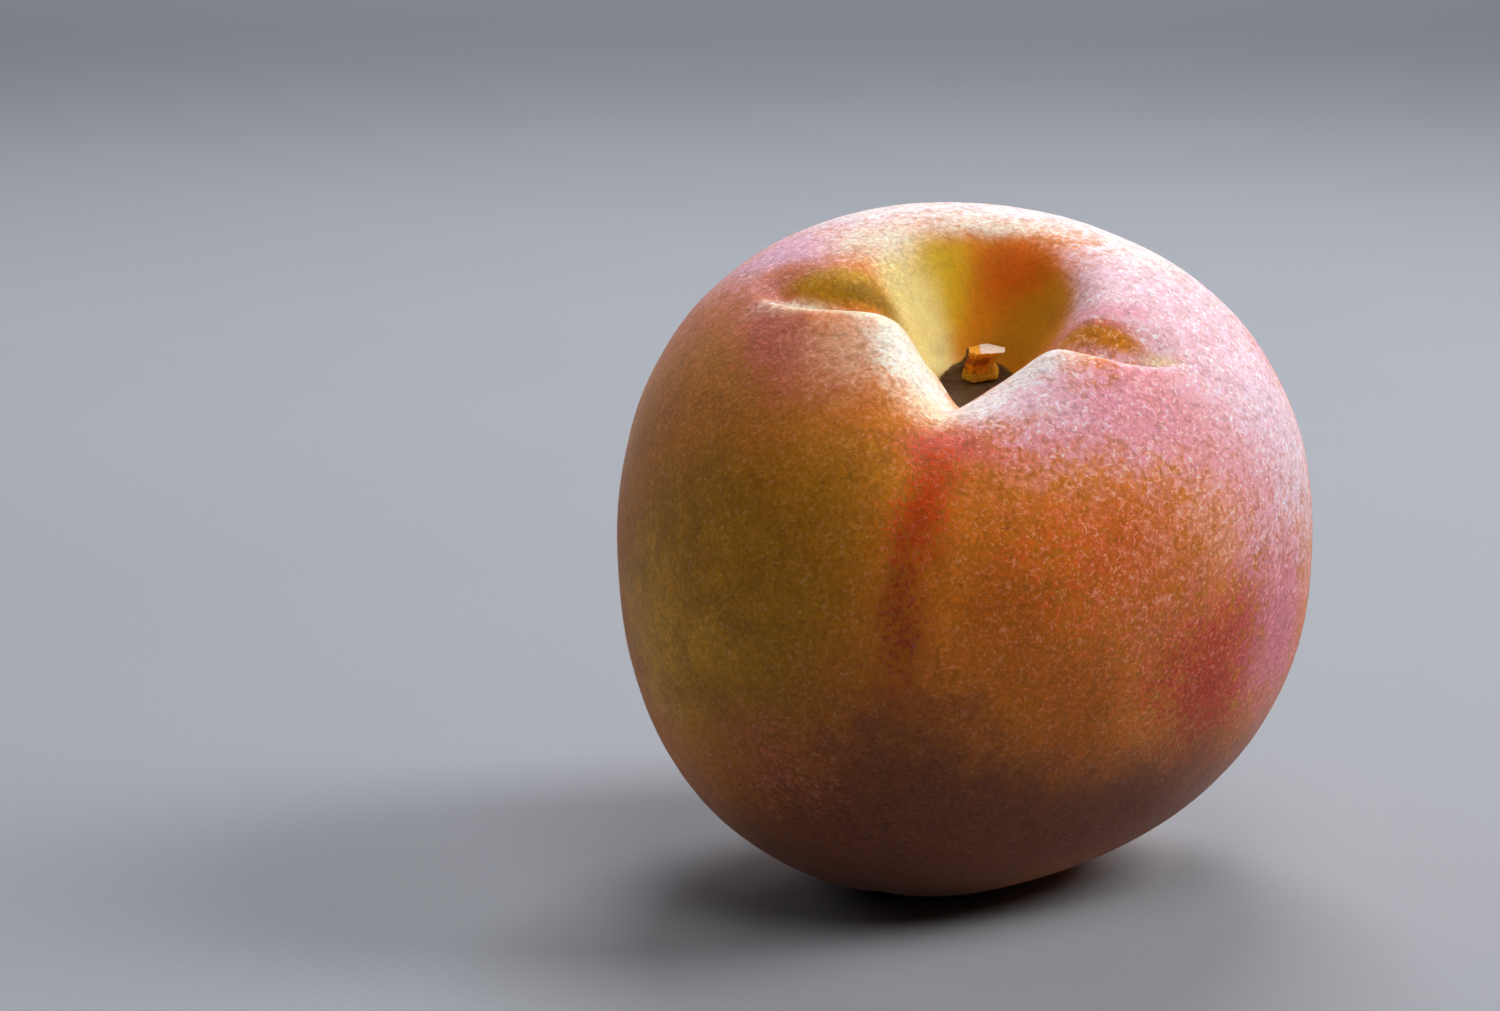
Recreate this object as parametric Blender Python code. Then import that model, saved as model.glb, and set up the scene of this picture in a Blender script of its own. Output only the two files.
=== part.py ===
"""A ripe peach with the snapped stub of its stalk. Metres, +Z up.

Each piece is modelled upright in the fruit's own frame: its origin is the middle of the fruit, the stem axis
is +Z and the suture side is -Y. An empty then lays the fruit on the floor, stem end tipped forward, and the
floor cuts off the small flat spot that it rests on. The world's origin is the middle of that spot.

The polar angle runs from the stem end to the blossom end. The turn angle runs round the stem axis, from 0 on
the suture side to 90 degrees on the side toward +X. The reach is the distance out from the stem axis.
"""

import math

import bmesh
import bpy
from mathutils import Matrix, Vector

MM = 0.001
DEG = math.radians(1)

# How the fruit lies on the floor.
TIP_FORWARD = 27 * DEG
LEAN_RIGHT = 1.9 * DEG
MIDDLE_ABOVE_FLAT_SPOT = Vector((3.1, 3.0, 34.1)) * MM

# Round body: its mean radius, its swellings from stem end to blossom end, and the blunt tip.
MEAN_RADIUS = 36.6 * MM
SHOULDER_SWELL = 2.0 * MM
POLE_FLATTENING = 1.3 * MM
BLOSSOM_TAPER = 0.45 * MM
SHOULDER_SQUARENESS = 1.35 * MM
SHOULDER_LIFT = 0.35 * MM
TIP_HEIGHT = 2.0 * MM
TIP_WIDTH = 19.6 * DEG

# Uneven sides: how much each swelling adds, and the turn where it is fullest.
FULLER_SIDE = (1.0 * MM, -75 * DEG)
FULLER_SHOULDER = (1.3 * MM, -70 * DEG)
OVAL = (1.9 * MM, -53.5 * DEG)
THREE_CHEEKS = (1.2 * MM, -28 * DEG)

# Cavity round the stalk. It is tighter on the suture side.
CAVITY_DEPTH = 11.4 * MM
CAVITY_REACH = 8.3 * MM
CAVITY_TIGHTER = (1.6 * MM, 12 * DEG)
CAVITY_STEEPNESS = 2.6

# Pit in the cavity, with a level floor. It opens toward the suture like a spout.
PIT_FLOOR_DEPTH = 10.5 * MM
PIT_REACH = 3.6 * MM
PIT_SPOUT = 4.0 * MM
PIT_SPOUT_SPREAD = 48 * DEG
PIT_WALL = 0.4 * MM

# Suture: a deep notch where it leaves the cavity, then a faint groove.
SUTURE_TURN = -17 * DEG
NOTCH_DEPTH = 7.0 * MM
NOTCH_REACH = 9.0 * MM
NOTCH_RUN_IN = 3.0 * MM
NOTCH_RUN_OUT = 8.0 * MM
NOTCH_LEFT_WIDTH = 7.0 * MM
NOTCH_RIGHT_WIDTH = 8.9 * MM
NOTCH_FLARE = 1.6
NOTCH_ROUNDING = 0.5 * MM
GROOVE_DEPTH = 0.35 * MM
GROOVE_WIDTH = 3.0 * MM
GROOVE_START = (10 * MM, 20 * MM)

# Creases beside the cavity: bowed lines seen from the stem end, steep on the suture side, with a raised lip.
# Their lengths are in millimetres.
LEFT_CREASE = {"start": (-8.0, -1.6), "end": (-22.5, 2.2), "bow": 2.5, "depth": 4.0}
RIGHT_CREASE = {"start": (5.0, -5.3), "end": (19.5, -5.6), "bow": 1.7, "depth": 3.6}
CREASE_STEEP_WIDTH = 1.1 * MM
CREASE_GENTLE_WIDTH = 3.6 * MM
CREASE_LIP_HEIGHT = 0.8 * MM
CREASE_LIP_OFFSET = 2.6 * MM
CREASE_LIP_WIDTH = 5.5 * MM

# Stub of the stalk, a little behind the stem axis. Each level has a radius and a height above the pit's floor
# in millimetres. The top is slanted.
STUB_GAP = 0.3 * MM
STUB_SET_BACK = 0.9 * MM
STUB_LEVELS = ((2.15, 0.3), (1.95, 0.8), (1.85, 1.4), (1.98, 2.2), (2.4, 3.0))
STUB_CROWN = 0.3 * MM
STUB_TOP_SLOPE = 0.35
STUB_BEND = 0.35 * MM
STUB_SIDES = 18

# Fineness of the fruit's mesh: points round each ring, rings in the pit and rings beyond it.
SEGMENTS = 100
PIT_RINGS = (0.15, 0.3, 0.46, 0.66, 0.88, 1.12)
OUTER_RINGS = 40
OUTER_GATHER = 0.5


def clear_scene():
    """Remove whatever the scene holds."""
    for item in list(bpy.data.objects):
        bpy.data.objects.remove(item)


def swell(lobes, turn, amount_and_side):
    """Return the height at this turn of a swelling with that many lobes round the stem axis."""
    amount, side = amount_and_side
    return amount * math.cos(lobes * (turn - side))


def soft_step(value, low, high):
    """Return a soft ramp from 0 at low to 1 at high."""
    share = min(max((value - low) / (high - low), 0), 1)
    return share * share * (3 - 2 * share)


def body_radius(polar, turn):
    """Return how far the round body reaches from the fruit's middle."""
    side = math.sin(polar)
    radius = MEAN_RADIUS + SHOULDER_SWELL * math.cos(polar) - POLE_FLATTENING * math.cos(2 * polar)
    radius -= BLOSSOM_TAPER * math.cos(3 * polar) + SHOULDER_SQUARENESS * math.cos(4 * polar)
    radius -= SHOULDER_LIFT * math.cos(5 * polar)
    radius += TIP_HEIGHT * math.exp(-(((math.pi - polar) / TIP_WIDTH) ** 2))
    radius += side * swell(1, turn, FULLER_SIDE)
    radius += side * math.sin(2 * polar) * swell(1, turn, FULLER_SHOULDER)
    radius += side**2 * swell(2, turn, OVAL)
    radius += side**3 * swell(3, turn, THREE_CHEEKS)
    return radius


def pit_spout(turn):
    """Return how much further than its back the pit opens at this turn."""
    off_suture = math.remainder(turn - SUTURE_TURN, math.tau)
    return PIT_SPOUT * math.exp(-((off_suture / PIT_SPOUT_SPREAD) ** 2))


def cavity_depth(reach, turn):
    """Return how far the cavity lies below the round body."""
    mouth = CAVITY_REACH - swell(1, turn, CAVITY_TIGHTER)
    return CAVITY_DEPTH * math.exp(-((reach / mouth) ** CAVITY_STEEPNESS))


def suture_depth(reach, turn):
    """Return the depth of the suture: its notch beside the cavity, and the faint groove beyond."""
    across = reach * math.sin(turn - SUTURE_TURN)
    width = NOTCH_LEFT_WIDTH if across < 0 else NOTCH_RIGHT_WIDTH
    away = math.hypot(across, NOTCH_ROUNDING) - NOTCH_ROUNDING
    run = NOTCH_RUN_IN if reach < NOTCH_REACH else NOTCH_RUN_OUT
    notch = NOTCH_DEPTH * max(1 - away / width, 0) ** NOTCH_FLARE
    notch *= math.exp(-(((reach - NOTCH_REACH) / run) ** 2))
    groove = GROOVE_DEPTH * math.exp(-((across / GROOVE_WIDTH) ** 2)) * soft_step(reach, *GROOVE_START)
    return (notch + groove) * soft_step(math.cos(turn - SUTURE_TURN), 0, 0.7)


def crease_depth(crease, reach, turn):
    """Return the depth of a crease at this place, less the lip that rises beside it."""
    start = Vector(crease["start"]) * MM
    run = Vector(crease["end"]) * MM - start
    place = Vector((math.sin(turn), -math.cos(turn))) * reach - start
    along = place.dot(run) / run.length_squared
    if not -0.3 < along < 1.2:
        return 0.0
    across = place.cross(run.normalized()) * math.copysign(1, run.x)
    across -= crease["bow"] * MM * 4 * along * (1 - along)
    width = CREASE_STEEP_WIDTH if across > 0 else CREASE_GENTLE_WIDTH
    fold = crease["depth"] * MM * math.exp(-((across / width) ** 2))
    lip_width = CREASE_LIP_OFFSET if across < CREASE_LIP_OFFSET else CREASE_LIP_WIDTH
    lip = CREASE_LIP_HEIGHT * math.exp(-(((across - CREASE_LIP_OFFSET) / lip_width) ** 2))
    fade = soft_step(along, -0.3, 0.2) * (1 - soft_step(along, 0.4, 1.2))
    return fade * (fold - lip)


def hollow_depth(reach, turn):
    """Return how far the skin lies below the round body, in the pit and in the folds around it."""
    folds = cavity_depth(reach, turn) + suture_depth(reach, turn)
    folds += crease_depth(LEFT_CREASE, reach, turn) + crease_depth(RIGHT_CREASE, reach, turn)
    edge = PIT_REACH + pit_spout(turn)
    outside = soft_step(reach, edge - PIT_WALL, edge + PIT_WALL)
    return PIT_FLOOR_DEPTH + (folds - PIT_FLOOR_DEPTH) * outside


def skin_point(polar, turn):
    """Return the skin's point at these angles."""
    radius = body_radius(polar, turn)
    reach = radius * math.sin(polar)
    height = radius * math.cos(polar)
    if polar < math.pi / 2:
        height -= hollow_depth(reach, turn)
    return Vector((reach * math.sin(turn), -reach * math.cos(turn), height))


def ring_polars():
    """Return the rings' polar angles behind the pit's spout, closest together near the cavity."""
    pit_edge = PIT_REACH / body_radius(0, 0)
    polars = [pit_edge * share for share in PIT_RINGS]
    last = polars[-1]
    for step in range(1, OUTER_RINGS):
        share = step / OUTER_RINGS
        polars.append(last + (math.pi - last) * (OUTER_GATHER * share + (1 - OUTER_GATHER) * share**2))
    return polars


def ring_points(polar):
    """Return the points of one ring, which widens toward the suture to follow the pit's spout."""
    pit_edge = PIT_REACH / body_radius(0, 0)
    follow = polar / pit_edge * math.exp(1 - polar / pit_edge)
    points = []
    for step in range(SEGMENTS):
        turn = math.tau * step / SEGMENTS
        points.append(skin_point(polar + follow * pit_spout(turn) / body_radius(0, 0), turn))
    return points


def bridge(mesh, inner, outer):
    """Join two rings of points with a band of faces."""
    for step in range(len(inner)):
        after = (step + 1) % len(inner)
        mesh.faces.new((inner[step], outer[step], outer[after], inner[after]))


def close_ring(mesh, ring, tip):
    """Join a ring of points to one point."""
    for step in range(len(ring)):
        mesh.faces.new((ring[step], ring[(step + 1) % len(ring)], tip))


def rest_on_floor(mesh, lay):
    """Cut the mesh off at the floor and close it with the flat spot."""
    unlay = lay.inverted()
    cut = bmesh.ops.bisect_plane(
        mesh,
        geom=mesh.verts[:] + mesh.edges[:] + mesh.faces[:],
        plane_co=unlay @ Vector((0, 0, 0)),
        plane_no=unlay.to_3x3() @ Vector((0, 0, 1)),
        clear_inner=True,
    )
    rim = [item for item in cut["geom_cut"] if isinstance(item, bmesh.types.BMEdge)]
    spot = bmesh.ops.contextual_create(mesh, geom=rim)["faces"]
    bmesh.ops.poke(mesh, faces=spot)


def finished_object(name, mesh, material, parent, sharp):
    """Make a mesh into a smooth object under its parent."""
    bmesh.ops.recalc_face_normals(mesh, faces=mesh.faces)
    data = bpy.data.meshes.new(name)
    mesh.to_mesh(data)
    mesh.free()
    data.shade_smooth()
    data.set_sharp_from_angle(angle=sharp)
    data.materials.append(material)
    item = bpy.data.objects.new(name, data)
    item.parent = parent
    bpy.context.scene.collection.objects.link(item)


def plain_material(name, colour, roughness):
    """Return a matt material of one colour."""
    material = bpy.data.materials.new(name)
    material.use_nodes = True
    shader = material.node_tree.nodes["Principled BSDF"]
    shader.inputs["Base Color"].default_value = (*colour, 1)
    shader.inputs["Roughness"].default_value = roughness
    shader.inputs["Metallic"].default_value = 0
    return material


def peach_skin():
    """Return the skin's material, orange under a bloom of fine hairs."""
    return plain_material("peach_skin", (0.78, 0.34, 0.16), 0.7)


def stalk_wood():
    """Return the material of the dry, woody stalk."""
    return plain_material("stalk_wood", (0.3, 0.14, 0.05), 0.8)


def make_lay():
    """Make the empty that lays the fruit on the floor."""
    lay = bpy.data.objects.new("lay_of_fruit", None)
    bpy.context.scene.collection.objects.link(lay)
    turned = Matrix.Rotation(LEAN_RIGHT, 4, "Y") @ Matrix.Rotation(TIP_FORWARD, 4, "X")
    lay.matrix_world = Matrix.Translation(MIDDLE_ABOVE_FLAT_SPOT) @ turned
    return lay


def make_fruit(lay):
    """Make the fruit from rings round the stem axis."""
    mesh = bmesh.new()
    rings = [[mesh.verts.new(point) for point in ring_points(polar)] for polar in ring_polars()]
    for inner, outer in zip(rings, rings[1:]):
        bridge(mesh, inner, outer)
    close_ring(mesh, rings[0], mesh.verts.new(skin_point(0, 0)))
    close_ring(mesh, rings[-1], mesh.verts.new(skin_point(math.pi, 0)))
    rest_on_floor(mesh, lay.matrix_world)
    finished_object("peach_fruit", mesh, peach_skin(), lay, 50 * DEG)


def make_stub(lay):
    """Make the stub, whose sole follows the pit's floor a little above it."""
    floor = skin_point(0, 0).z + STUB_GAP
    turns = [math.tau * step / STUB_SIDES for step in range(STUB_SIDES)]
    foot_polar = STUB_LEVELS[0][0] * MM / body_radius(0, 0)
    mesh = bmesh.new()
    lift = Vector((0, STUB_SET_BACK, STUB_GAP))
    rings = [[mesh.verts.new(skin_point(foot_polar, turn) + lift) for turn in turns]]
    top = STUB_LEVELS[-1][1]
    for radius, height in STUB_LEVELS:
        rise = (height / top) ** 3
        ring = []
        for turn in turns:
            x = radius * MM * math.sin(turn)
            y = -radius * MM * math.cos(turn)
            z = floor + height * MM - STUB_TOP_SLOPE * y * rise
            ring.append(mesh.verts.new((x + STUB_BEND * rise, y + STUB_SET_BACK, z)))
        rings.append(ring)
    for lower, upper in zip(rings, rings[1:]):
        bridge(mesh, lower, upper)
    close_ring(mesh, rings[0], mesh.verts.new((0, STUB_SET_BACK, floor)))
    close_ring(mesh, rings[-1], mesh.verts.new((STUB_BEND, STUB_SET_BACK, floor + top * MM + STUB_CROWN)))
    finished_object("stem_stub", mesh, stalk_wood(), lay, 40 * DEG)


clear_scene()
lay_of_fruit = make_lay()
make_fruit(lay_of_fruit)
make_stub(lay_of_fruit)
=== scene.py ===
"""A ripe peach with the snapped stub of its stalk, lying on a pale studio floor. Metres, +Z up.

Places on the fruit are given in its own frame, as in the part's source: the stem axis is +Z there and the
suture side is -Y. The polar angle runs from the stem end to the blossom end, the turn angle runs round the
stem axis from the suture side toward +X, and the reach is the distance out from the stem axis.
"""

import math

import bpy
import numpy as np
from mathutils import Matrix, Vector, noise


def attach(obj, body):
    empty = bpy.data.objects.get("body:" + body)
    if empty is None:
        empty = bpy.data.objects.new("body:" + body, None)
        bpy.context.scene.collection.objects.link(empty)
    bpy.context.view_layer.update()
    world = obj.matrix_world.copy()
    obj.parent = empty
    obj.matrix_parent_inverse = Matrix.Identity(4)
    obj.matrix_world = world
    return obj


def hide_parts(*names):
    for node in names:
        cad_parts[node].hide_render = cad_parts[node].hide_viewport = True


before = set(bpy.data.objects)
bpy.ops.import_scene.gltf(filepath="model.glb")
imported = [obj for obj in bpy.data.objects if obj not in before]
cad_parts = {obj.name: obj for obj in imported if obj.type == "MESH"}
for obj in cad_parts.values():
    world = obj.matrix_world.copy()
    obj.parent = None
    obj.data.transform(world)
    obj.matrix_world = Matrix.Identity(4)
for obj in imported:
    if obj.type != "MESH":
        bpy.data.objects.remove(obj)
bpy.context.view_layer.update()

# Fruit: soft flesh grown in one piece under a thin skin. The skin dips into a cavity round the stalk, splits
# in a notch where the suture leaves it, and folds in two short creases beside it. Its ground colour runs from
# olive to gold, and the side that hung in the sun has a red and pink blush in fine flecks.
# Some of the skin's coats are painted light and shade: pale highlights on the crease lips, the lobe by the
# notch and the rims, and dark shade in the left crease, in the pit and under the fruit.

MM = 0.001
DEG = math.radians(1)
MIDDLE_ABOVE_FLAT_SPOT = Vector((3.1, 3.0, 34.1)) * MM
LAY = (
    Matrix.Translation(MIDDLE_ABOVE_FLAT_SPOT)
    @ Matrix.Rotation(1.9 * DEG, 4, "Y")
    @ Matrix.Rotation(27 * DEG, 4, "X")
)

MEAN_RADIUS = 36.6 * MM
SHOULDER_SWELL = 2.0 * MM
POLE_FLATTENING = 1.3 * MM
BLOSSOM_TAPER = 0.45 * MM
SHOULDER_SQUARENESS = 1.35 * MM
SHOULDER_LIFT = 0.35 * MM
TIP_HEIGHT = 2.0 * MM
TIP_WIDTH = 19.6 * DEG
FULLER_SIDE = (1.0 * MM, -75 * DEG)
FULLER_SHOULDER = (1.3 * MM, -70 * DEG)
OVAL = (1.9 * MM, -53.5 * DEG)
THREE_CHEEKS = (1.2 * MM, -28 * DEG)
CAVITY_DEPTH = 11.4 * MM
CAVITY_REACH = 8.3 * MM
CAVITY_TIGHTER = (1.6 * MM, 12 * DEG)
CAVITY_STEEPNESS = 2.6
PIT_FLOOR_DEPTH = 10.5 * MM
PIT_REACH = 3.6 * MM
PIT_SPOUT = 4.0 * MM
PIT_SPOUT_SPREAD = 48 * DEG
PIT_WALL = 0.4 * MM
SUTURE_TURN = -17 * DEG
NOTCH_DEPTH = 7.0 * MM
NOTCH_REACH = 9.0 * MM
NOTCH_RUN_IN = 3.0 * MM
NOTCH_RUN_OUT = 8.0 * MM
NOTCH_LEFT_WIDTH = 7.0 * MM
NOTCH_RIGHT_WIDTH = 8.9 * MM
NOTCH_FLARE = 1.6
NOTCH_ROUNDING = 0.5 * MM
GROOVE_DEPTH = 0.35 * MM
GROOVE_WIDTH = 3.0 * MM
GROOVE_START = (10 * MM, 20 * MM)
LEFT_CREASE = {"start": (-8.0, -1.6), "end": (-22.5, 2.2), "bow": 2.5, "depth": 4.0}
RIGHT_CREASE = {"start": (5.0, -5.3), "end": (19.5, -5.6), "bow": 1.7, "depth": 3.6}
CREASE_STEEP_WIDTH = 1.1 * MM
CREASE_GENTLE_WIDTH = 3.6 * MM
CREASE_LIP_HEIGHT = 0.8 * MM
CREASE_LIP_OFFSET = 2.6 * MM
CREASE_LIP_WIDTH = 5.5 * MM

# Fine relief that only the close view shows: soft waves of the flesh, pores, a rough pit and a faint seam.
WAVE_LENGTH = 9 * MM
WAVE_HEIGHT = 0.12 * MM
PORE_LENGTH = 1.3 * MM
PORE_HEIGHT = 0.025 * MM
CORK_LENGTH = 0.7 * MM
CORK_HEIGHT = 0.16 * MM
SEAM_DEPTH = 0.22 * MM
SEAM_WIDTH = 1.6 * MM

SEGMENTS = 400
PIT_RINGS = (0.1, 0.2, 0.3, 0.4, 0.5, 0.6, 0.7, 0.78, 0.84, 0.88, 0.92, 0.96, 1, 1.04, 1.08, 1.12)
OUTER_RINGS = 228
OUTER_GATHER = 0.5


def swell(lobes, turn, amount_and_side):
    """Return the height at this turn of a swelling with that many lobes round the stem axis."""
    amount, side = amount_and_side
    return amount * np.cos(lobes * (turn - side))


def soft_step(value, low, high):
    """Return a soft ramp from 0 at low to 1 at high."""
    share = np.clip((value - low) / (high - low), 0, 1)
    return share * share * (3 - 2 * share)


def off_suture(turn):
    """Return the angle from the suture, from -180 to 180 degrees."""
    return (turn - SUTURE_TURN + math.pi) % math.tau - math.pi


def body_radius(polar, turn):
    """Return how far the round body reaches from the fruit's middle."""
    side = np.sin(polar)
    radius = MEAN_RADIUS + SHOULDER_SWELL * np.cos(polar) - POLE_FLATTENING * np.cos(2 * polar)
    radius = radius - BLOSSOM_TAPER * np.cos(3 * polar) - SHOULDER_SQUARENESS * np.cos(4 * polar)
    radius = radius - SHOULDER_LIFT * np.cos(5 * polar)
    radius = radius + TIP_HEIGHT * np.exp(-(((math.pi - polar) / TIP_WIDTH) ** 2))
    radius = radius + side * swell(1, turn, FULLER_SIDE)
    radius = radius + side * np.sin(2 * polar) * swell(1, turn, FULLER_SHOULDER)
    radius = radius + side**2 * swell(2, turn, OVAL)
    return radius + side**3 * swell(3, turn, THREE_CHEEKS)


def pit_spout(turn):
    """Return how much further than its back the pit opens at this turn."""
    return PIT_SPOUT * np.exp(-((off_suture(turn) / PIT_SPOUT_SPREAD) ** 2))


def beyond_pit(reach, turn):
    """Return 0 inside the pit and 1 outside it."""
    edge = PIT_REACH + pit_spout(turn)
    return soft_step(reach, edge - PIT_WALL, edge + PIT_WALL)


def cavity_depth(reach, turn):
    """Return how far the cavity lies below the round body."""
    mouth = CAVITY_REACH - swell(1, turn, CAVITY_TIGHTER)
    return CAVITY_DEPTH * np.exp(-((reach / mouth) ** CAVITY_STEEPNESS))


def suture_depth(reach, turn):
    """Return the depth of the suture: its notch beside the cavity, and the faint groove beyond."""
    across = reach * np.sin(turn - SUTURE_TURN)
    width = np.where(across < 0, NOTCH_LEFT_WIDTH, NOTCH_RIGHT_WIDTH)
    away = np.hypot(across, NOTCH_ROUNDING) - NOTCH_ROUNDING
    run = np.where(reach < NOTCH_REACH, NOTCH_RUN_IN, NOTCH_RUN_OUT)
    notch = NOTCH_DEPTH * np.maximum(1 - away / width, 0) ** NOTCH_FLARE
    notch = notch * np.exp(-(((reach - NOTCH_REACH) / run) ** 2))
    groove = GROOVE_DEPTH * np.exp(-((across / GROOVE_WIDTH) ** 2)) * soft_step(reach, *GROOVE_START)
    return (notch + groove) * soft_step(np.cos(turn - SUTURE_TURN), 0, 0.7)


def crease_parts(crease, reach, turn):
    """Return a crease's fold and lip at this place, each from 0 to 1."""
    start = np.array(crease["start"]) * MM
    run = np.array(crease["end"]) * MM - start
    length = math.hypot(*run)
    x = reach * np.sin(turn) - start[0]
    y = -reach * np.cos(turn) - start[1]
    along = (x * run[0] + y * run[1]) / length**2
    across = (x * run[1] - y * run[0]) / length * math.copysign(1, run[0])
    across = across - crease["bow"] * MM * 4 * along * (1 - along)
    width = np.where(across > 0, CREASE_STEEP_WIDTH, CREASE_GENTLE_WIDTH)
    lip_width = np.where(across < CREASE_LIP_OFFSET, CREASE_LIP_OFFSET, CREASE_LIP_WIDTH)
    fade = soft_step(along, -0.3, 0.2) * (1 - soft_step(along, 0.4, 1.2))
    fold = fade * np.exp(-((across / width) ** 2))
    lip = fade * np.exp(-(((across - CREASE_LIP_OFFSET) / lip_width) ** 2))
    return fold, lip


def hollow_depth(reach, turn):
    """Return how far the skin lies below the round body, in the pit and in the folds around it."""
    folds = cavity_depth(reach, turn) + suture_depth(reach, turn)
    for crease in (LEFT_CREASE, RIGHT_CREASE):
        fold, lip = crease_parts(crease, reach, turn)
        folds = folds + fold * crease["depth"] * MM - lip * CREASE_LIP_HEIGHT
    return PIT_FLOOR_DEPTH + (folds - PIT_FLOOR_DEPTH) * beyond_pit(reach, turn)


def ring_polars():
    """Return the rings' polar angles behind the pit's spout, closest together near the cavity."""
    pit_edge = PIT_REACH / body_radius(0, 0)
    last = pit_edge * PIT_RINGS[-1]
    share = np.arange(1, OUTER_RINGS) / OUTER_RINGS
    outer = last + (math.pi - last) * (OUTER_GATHER * share + (1 - OUTER_GATHER) * share**2)
    return np.concatenate([pit_edge * np.array(PIT_RINGS), outer])


def noise_at(points, length):
    """Return soft noise with bumps of about this length, from -1 to 1."""
    return np.array([noise.noise(Vector(point) / length) for point in points])


def in_world(points):
    """Return points of the fruit's frame where the fruit lies."""
    return points @ np.array(LAY.to_3x3()).T + np.array(LAY.translation)


def skin_grid():
    """Return the polar and turn angles of the skin's points, ring after ring, with a pole at each end."""
    turn = math.tau * np.arange(SEGMENTS) / SEGMENTS
    polar = ring_polars()[:, None] + 0 * turn
    pit_edge = PIT_REACH / body_radius(0, 0)
    follow = polar / pit_edge * np.exp(1 - polar / pit_edge)
    polar = polar + follow * pit_spout(turn) / body_radius(0, 0)
    turn = turn + 0 * polar
    return np.concatenate([[0], polar.ravel(), [math.pi]]), np.concatenate([[0], turn.ravel(), [0]])


def skin_points(polar, turn):
    """Return the skin's points in the fruit's frame, with the fine relief."""
    radius = body_radius(polar, turn)
    reach = radius * np.sin(polar)
    round_points = np.stack([reach * np.sin(turn), -reach * np.cos(turn), radius * np.cos(polar)], -1)
    waves = WAVE_HEIGHT * noise_at(round_points, WAVE_LENGTH)
    waves = waves + PORE_HEIGHT * noise_at(round_points, PORE_LENGTH)
    across = reach * np.sin(turn - SUTURE_TURN)
    seam = SEAM_DEPTH * np.exp(-((across / SEAM_WIDTH) ** 2)) * soft_step(polar, 30 * DEG, 45 * DEG)
    seam = seam * (np.abs(off_suture(turn)) < math.pi / 2)
    radius = radius + waves - seam
    reach = radius * np.sin(polar)
    depth = np.where(polar < math.pi / 2, hollow_depth(reach, turn), 0)
    in_pit = (1 - beyond_pit(reach, turn)) * (polar < 1)
    depth = depth + CORK_HEIGHT * noise_at(round_points, CORK_LENGTH) * in_pit
    return np.stack([reach * np.sin(turn), -reach * np.cos(turn), radius * np.cos(polar) - depth], -1)


def grid_faces(rings, segments):
    """Return the quads between rings of points, and the triangles that close both ends on a pole."""
    ring = np.arange(rings - 1)[:, None] * segments + 1
    step = np.arange(segments)
    after = (step + 1) % segments
    quads = np.stack([ring + step, ring + segments + step, ring + segments + after, ring + after], -1)
    last = (rings - 1) * segments + 1
    top = np.stack([step + 1, after + 1, 0 * step], -1)
    bottom = np.stack([last + step, 0 * step + last + segments, last + after], -1)
    return quads.reshape(-1, 4).tolist() + top.tolist() + bottom.tolist()


def mesh_piece(name, points, faces, material, masks):
    """Make a smooth mesh from world points, with a point attribute for each mask."""
    data = bpy.data.meshes.new(name)
    data.from_pydata(points.tolist(), [], faces)
    for mask, values in masks.items():
        data.attributes.new(mask, "FLOAT", "POINT").data.foreach_set("value", np.asarray(values, np.float32))
    data.shade_smooth()
    data.materials.append(material)
    piece = bpy.data.objects.new(name, data)
    bpy.context.scene.collection.objects.link(piece)
    return piece


def patches(across, along, places):
    """Return a mask of soft patches, each with its middle, half size, strength, tilt and hardness of edge."""
    clear = np.ones_like(across)
    for middle, size, strength, tilt, hardness in places:
        x = across - middle[0]
        y = along - middle[1]
        east = (x * math.cos(tilt * DEG) + y * math.sin(tilt * DEG)) / size[0]
        north = (y * math.cos(tilt * DEG) - x * math.sin(tilt * DEG)) / size[1]
        clear = clear * (1 - strength * np.exp(-((east**2 + north**2) ** hardness)))
    return 1 - clear


def link_inputs(tree, node, inputs):
    """Link or set a node's inputs, which are given by name or number."""
    for socket, value in inputs.items():
        found = [item for item in node.inputs if item.name == socket and item.enabled]
        given = found[0] if found else node.inputs[socket]
        if isinstance(value, bpy.types.NodeSocket):
            tree.links.new(value, given)
        else:
            given.default_value = value


def new_node(tree, kind, inputs=None, **settings):
    """Add a node, set it up, and link or set its inputs."""
    node = tree.nodes.new(kind)
    for name, value in settings.items():
        setattr(node, name, value)
    link_inputs(tree, node, inputs or {})
    return node


def sum_of(tree, operation, *values):
    """Return the result of a math node on these values."""
    return new_node(tree, "ShaderNodeMath", dict(enumerate(values)), operation=operation).outputs[0]


def new_group(name, sockets, outputs):
    """Start a node group with these named sockets, and return it with what it is given and what it gives."""
    group = bpy.data.node_groups.new(name, "ShaderNodeTree")
    for label, kind, value in sockets:
        socket = group.interface.new_socket(label, in_out="INPUT", socket_type="NodeSocket" + kind)
        if value is not None:
            socket.default_value = value
    for label in outputs:
        group.interface.new_socket(label, in_out="OUTPUT", socket_type="NodeSocketFloat")
    return group, group.nodes.new("NodeGroupInput").outputs, group.nodes.new("NodeGroupOutput").inputs


FLECK_SIZES = {"Fine": (0.5 * MM, 0.6), "Medium": (1.25 * MM, 1.0), "Coarse": (4.0 * MM, 0.4)}
CURL_LENGTH = 1.25 * MM
CURL_BREADTH = 0.045


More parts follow.
